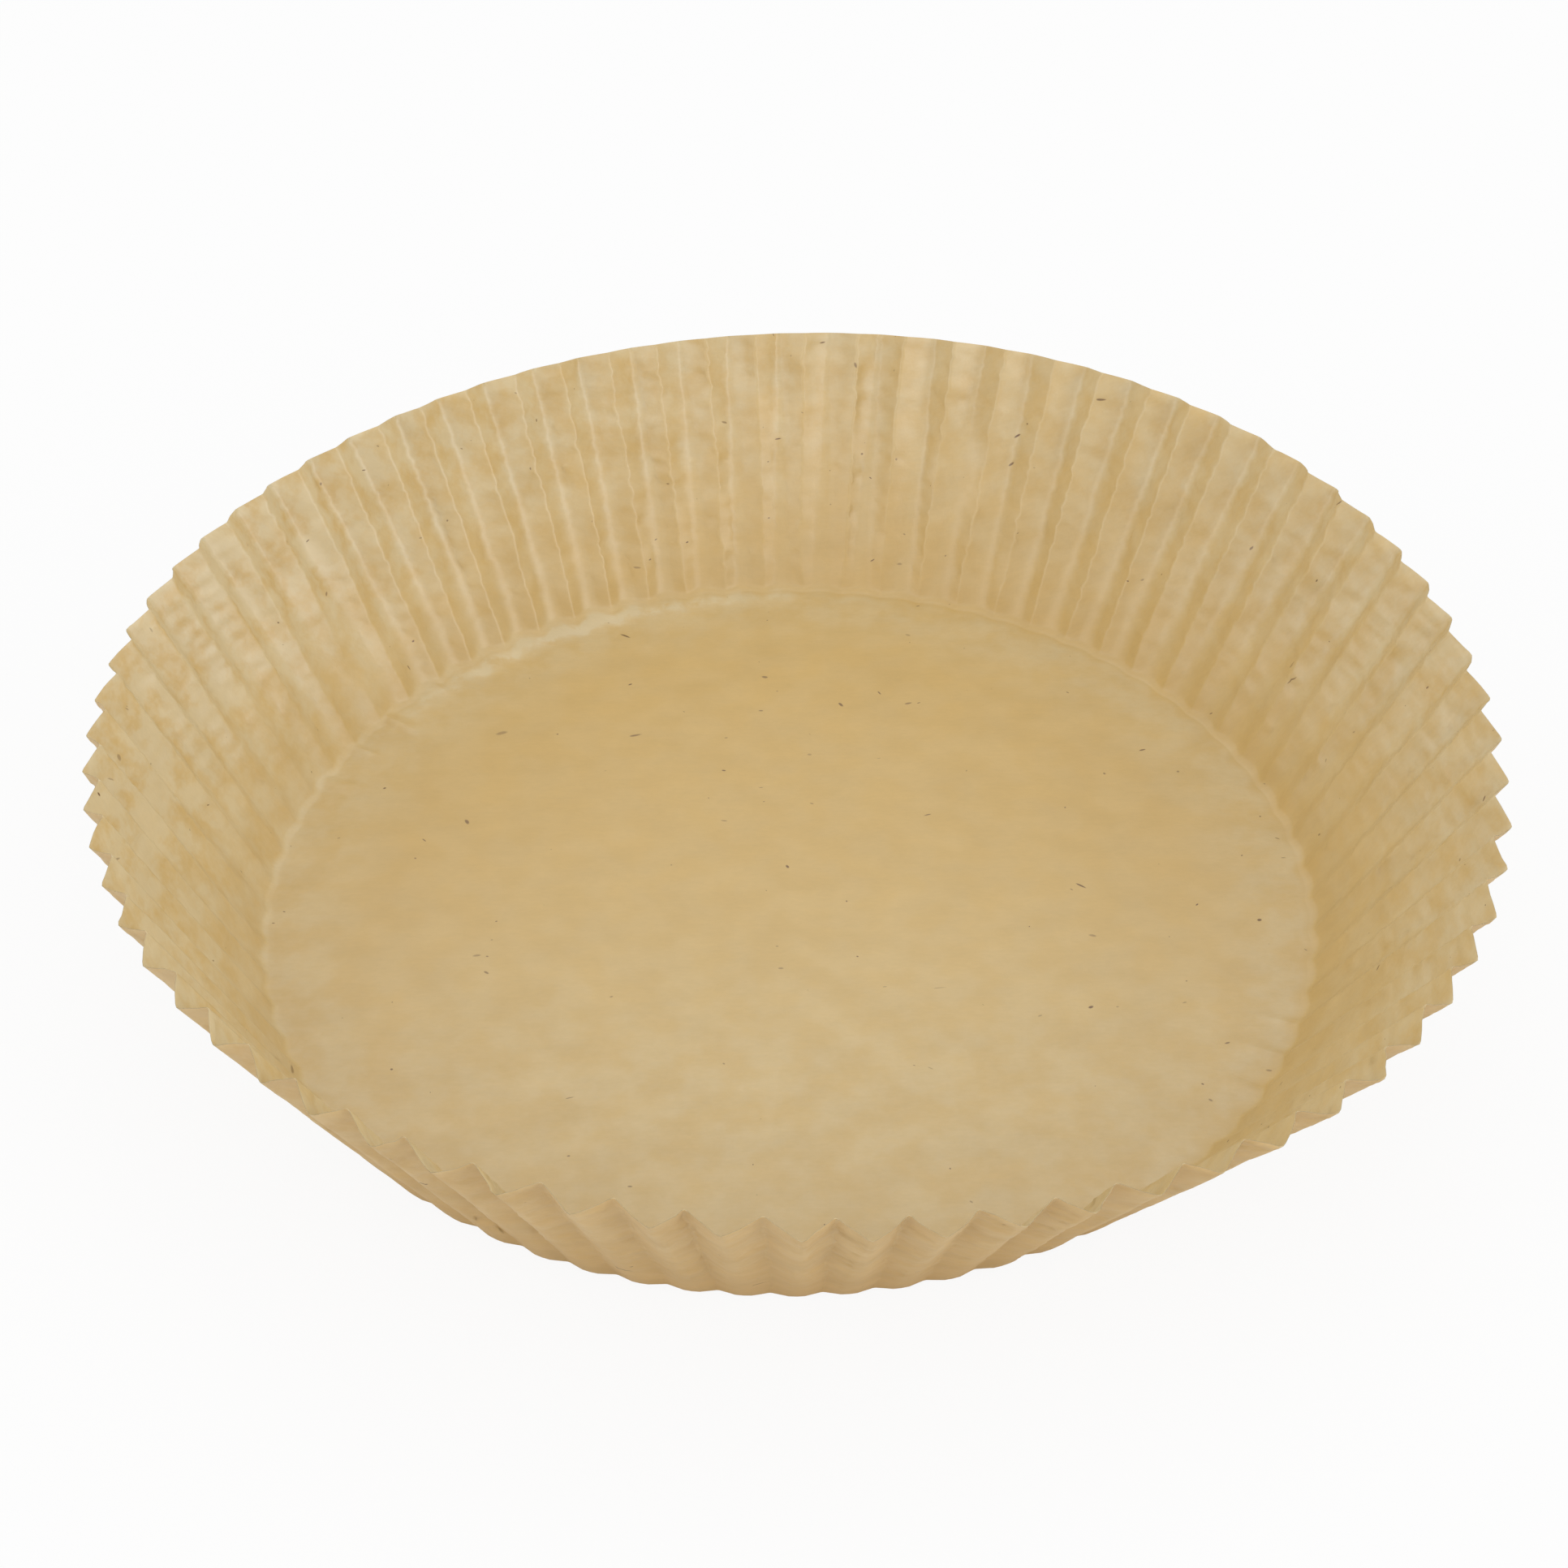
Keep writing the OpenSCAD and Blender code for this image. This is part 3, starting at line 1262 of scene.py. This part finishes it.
@dataclass(frozen=True)
class Greaseproof:
    """A finish of the unbleached greaseproof paper.

    Args:
        name: the material's name.
        map_span: the length in metres that one unit of its map spans.
        colour: its colour.
        pale: its colour where creasing has opened its fibres, and where light is painted.
        roughness: how dull its faint sheen is.
        sheen: how strong the sheen is, with 0.5 for plain paper.
        patches: how strong its cloudy patches are.
        fibres: how strong its fine fibres are.
        streaks: how strong the streaks along its grain are.
        speck: the colour of its specks.
        speck_share: the share of places for a speck that have one.
        speck_kinds: the kinds of speck.
        grain: the height of its fine grain, as a share of its relief.
        ripples: the height of its ripples, as a share of its relief.
        relief: the height of its surface.
        relief_strength: how strongly the relief shows.
    """

    name: str
    map_span: float
    colour: Tone
    pale: Tone
    roughness: float
    sheen: float
    patches: float = 0.15
    fibres: float = 0.05
    streaks: float = 0.02
    speck: Tone = Tone.BROWN
    speck_share: float = 0.24
    speck_kinds: tuple[Speck, ...] = (Speck(9.0, 1.0, 0.27, 2.6), Speck(4.5, 0.7, 0.17, 1.5))
    grain: float = 0.22
    ripples: float = 0.14
    relief: float = 0.12 * MM
    relief_strength: float = 0.6

    def make(self, effects: Effects) -> bpy.types.Material:
        """The material.

        Args:
            effects: the shared node groups.

        Returns:
            The material, with its patterns in millimetres of the flat sheet.
        """
        material = bpy.data.materials.new(self.name)
        material.use_nodes = True
        board = Board(material.node_tree)
        flat_map = board.add("ShaderNodeUVMap", uv_map=FLAT_MAP)
        to_mm = self.map_span / MM
        place = board.vector("MULTIPLY", flat_map.outputs[0], (to_mm, to_mm, to_mm))

        # The paleness of each point: crease paling, with painted light and shade on the floor,
        # round the wall and along the fold.
        paling_and_painted_light = board.add("ShaderNodeAttribute", attribute_name=PALING_AND_PAINTED_LIGHT)
        paled = board.add("ShaderNodeGroup", node_tree=effects.paling)
        board.feed(paled, Place=place, Worked=paling_and_painted_light.outputs["Fac"])
        shown = board.mix(paled.outputs["Mask"], self.colour.value, self.pale.value)

        clouds = board.add("ShaderNodeGroup", node_tree=effects.formation)
        board.feed(clouds, Place=place, Patches=self.patches, Fibres=self.fibres,
                   Streaks=self.streaks)
        shown = board.mix(1.0, shown, clouds.outputs["Shade"], blend_type="MULTIPLY")

        for kind in self.speck_kinds:
            spots = board.add("ShaderNodeGroup", node_tree=effects.specks)
            board.feed(spots, Place=place, Cell=kind.cell, Share=kind.share * self.speck_share,
                       Radius=kind.radius, Length=kind.length)
            shown = board.mix(spots.outputs["Mask"], shown, self.speck.value)

        surface = board.add("ShaderNodeGroup", node_tree=effects.crinkles)
        board.feed(surface, Place=place, Grain=self.grain, Ripples=self.ripples)
        bump = board.add("ShaderNodeBump")
        board.feed(bump, Strength=self.relief_strength, Distance=self.relief,
                   Height=surface.outputs["Height"])

        paper = board.add("ShaderNodeBsdfPrincipled")
        board.feed(paper, Base_Color=shown, Roughness=self.roughness,
                   Specular_IOR_Level=self.sheen, Normal=bump.outputs["Normal"])
        out = board.add("ShaderNodeOutputMaterial")
        board.feed(out, Surface=paper.outputs[0])
        return material


def seen_directly(board: Board) -> bpy.types.NodeSocket:
    """Whether a ray comes straight from the camera, or through something clear.

    Args:
        board: the board of the material or world that asks.

    Returns:
        The socket of the answer, 0 or 1.
    """
    path = board.add("ShaderNodeLightPath")
    return board.maths("MAXIMUM", path.outputs["Is Camera Ray"],
                       path.outputs["Is Transmission Ray"])


@dataclass(frozen=True)
class Lamp:
    """A large soft lamp that points at the liner.

    Args:
        name: its name.
        power: its power in watts.
        place: where it stands.
        size: its diameter.
    """

    name: str
    power: float
    place: tuple[float, float, float]
    size: float = 0.8

    def make(self) -> bpy.types.Object:
        """Makes the lamp.

        Returns:
            The lamp, turned towards the liner.
        """
        light = bpy.data.lights.new(self.name, "AREA")
        light.shape = "DISK"
        light.size = self.size
        light.energy = self.power
        piece = in_scene(self.name, light)
        piece.location = self.place
        piece.rotation_euler = (-Vector(self.place)).to_track_quat("-Z", "Y").to_euler()
        return piece


@dataclass
class Studio:
    """The plain pale floor, the soft light and the camera.

    Args:
        floor_half: half of the floor's width.
        floor_colour: the floor's brightness.
        floor_roughness: how matt the floor is.
        shown_white: how much of the floor that the camera sees is plain white.
        sky: the brightness of the light from all round.
        lamps: the soft lamps.
        lens: the camera's focal length, in millimetres.
        sensor: the width of its sensor, in millimetres.
        near: the shortest distance that it sees.
        distance: how far it stands from the middle of the liner's bottom.
        elevation: how high it stands, in degrees.
        pitch: how far down it looks, in degrees.
        yaw: how far to the right it looks, in degrees.
        roll: how far it is turned about its own axis, in degrees.
    """

    floor_half: float = 4.0
    floor_colour: float = 0.8
    floor_roughness: float = 0.9
    shown_white: float = 0.9
    sky: float = 0.87
    lamps: tuple[Lamp, ...] = (
        Lamp("front_lamp", 1.0, (0.0, -0.95, 1.03)),
        Lamp("right_lamp", 3.8, (1.06, -0.75, 0.52)),
        Lamp("left_lamp", 2.2, (-1.04, -0.73, 0.59)),
        Lamp("back_lamp", 0.9, (0.0, 0.66, 1.24)),
    )
    lens: float = 61.99
    sensor: float = 36.0
    near: float = 0.01
    distance: float = 0.41904
    elevation: float = 42.42
    pitch: float = 40.13
    yaw: float = -0.11
    roll: float = -0.57

    def floor(self) -> bpy.types.Object:
        """Makes the floor, which keeps the liner's shadow.

        Returns:
            The floor.
        """
        bm = bmesh.new()
        bmesh.ops.create_grid(bm, x_segments=1, y_segments=1, size=self.floor_half)
        mesh = bpy.data.meshes.new("studio_floor")
        bm.to_mesh(mesh)
        bm.free()
        material = bpy.data.materials.new("studio_floor")
        material.use_nodes = True
        board = Board(material.node_tree)
        matt = board.add("ShaderNodeBsdfPrincipled")
        board.feed(matt, Base_Color=(self.floor_colour,) * 3 + (1.0,),
                   Roughness=self.floor_roughness, Specular_IOR_Level=0.0)
        white = board.add("ShaderNodeEmission")
        share = board.maths("MULTIPLY", seen_directly(board), self.shown_white)
        mix = board.add("ShaderNodeMixShader")
        for value, socket in zip((share, matt.outputs[0], white.outputs[0]), mix.inputs):
            board.link(value, socket)
        out = board.add("ShaderNodeOutputMaterial")
        board.feed(out, Surface=mix.outputs[0])
        mesh.materials.append(material)
        return in_scene("studio_floor", mesh)

    def light(self) -> None:
        """Light from all round, and the soft lamps."""
        world = bpy.data.worlds.new("studio")
        world.use_nodes = True
        board = Board(world.node_tree)
        level = board.add("ShaderNodeMapRange")
        board.feed(level, Value=seen_directly(board), To_Min=self.sky, To_Max=1.0)
        sky = board.add("ShaderNodeBackground")
        board.feed(sky, Color=(1.0, 1.0, 1.0, 1.0), Strength=level.outputs["Result"])
        out = board.add("ShaderNodeOutputWorld")
        board.feed(out, Surface=sky.outputs[0])
        bpy.context.scene.world = world
        for lamp in self.lamps:
            lamp.make()

    def camera(self) -> None:
        """The camera, at the photograph's place."""
        lens = bpy.data.cameras.new("camera")
        lens.lens = self.lens
        lens.sensor_width = self.sensor
        lens.clip_start = self.near
        pitch, yaw, roll = (math.radians(a) for a in (self.pitch, self.yaw, self.roll))
        ahead = Vector((math.sin(yaw) * math.cos(pitch), math.cos(yaw) * math.cos(pitch),
                        -math.sin(pitch)))
        level = Vector((math.cos(yaw), -math.sin(yaw), 0.0))
        above = level.cross(ahead)
        right = level * math.cos(roll) + above * math.sin(roll)
        up = above * math.cos(roll) - level * math.sin(roll)
        height = math.radians(self.elevation)
        piece = in_scene("camera", lens)
        piece.matrix_world = Matrix((right, up, -ahead)).transposed().to_4x4()
        piece.location = Vector((0.0, -math.cos(height), math.sin(height))) * self.distance
        bpy.context.scene.camera = piece


def main() -> None:
    """Builds the studio and the liner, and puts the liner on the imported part's body."""
    logging.basicConfig(level=logging.INFO, format="%(name)s: %(message)s")
    studio = Studio()
    studio.camera()
    studio.light()
    studio.floor()
    bpy.context.scene.view_settings.view_transform = "Standard"

    _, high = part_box("liner")
    liner = PaperLiner(rim_r=high.x, rim_z=high.z)
    span = liner.map_span
    finishes = {
        Side.INSIDE: Greaseproof(
            "paper_inside", span, Tone.TAN, Tone.PALE, roughness=0.38, sheen=0.8, patches=0.1,
        ),
        Side.UNDERSIDE: Greaseproof(
            "paper_underside", span, Tone.WARM, Tone.BRIGHT, roughness=0.5, sheen=0.6,
        ),
        Side.CUT_EDGE: Greaseproof(
            "paper_cut_edge", span, Tone.PALE, Tone.PALE, roughness=0.8, sheen=0.5,
            speck_share=0.0,
        ),
    }
    effects = Effects(formation(), paling(), specks(), crinkles())
    sheet = liner.build({side: finish.make(effects) for side, finish in finishes.items()})
    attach(sheet, "root")
    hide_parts("liner")


if __name__ == "__main__":
    main()
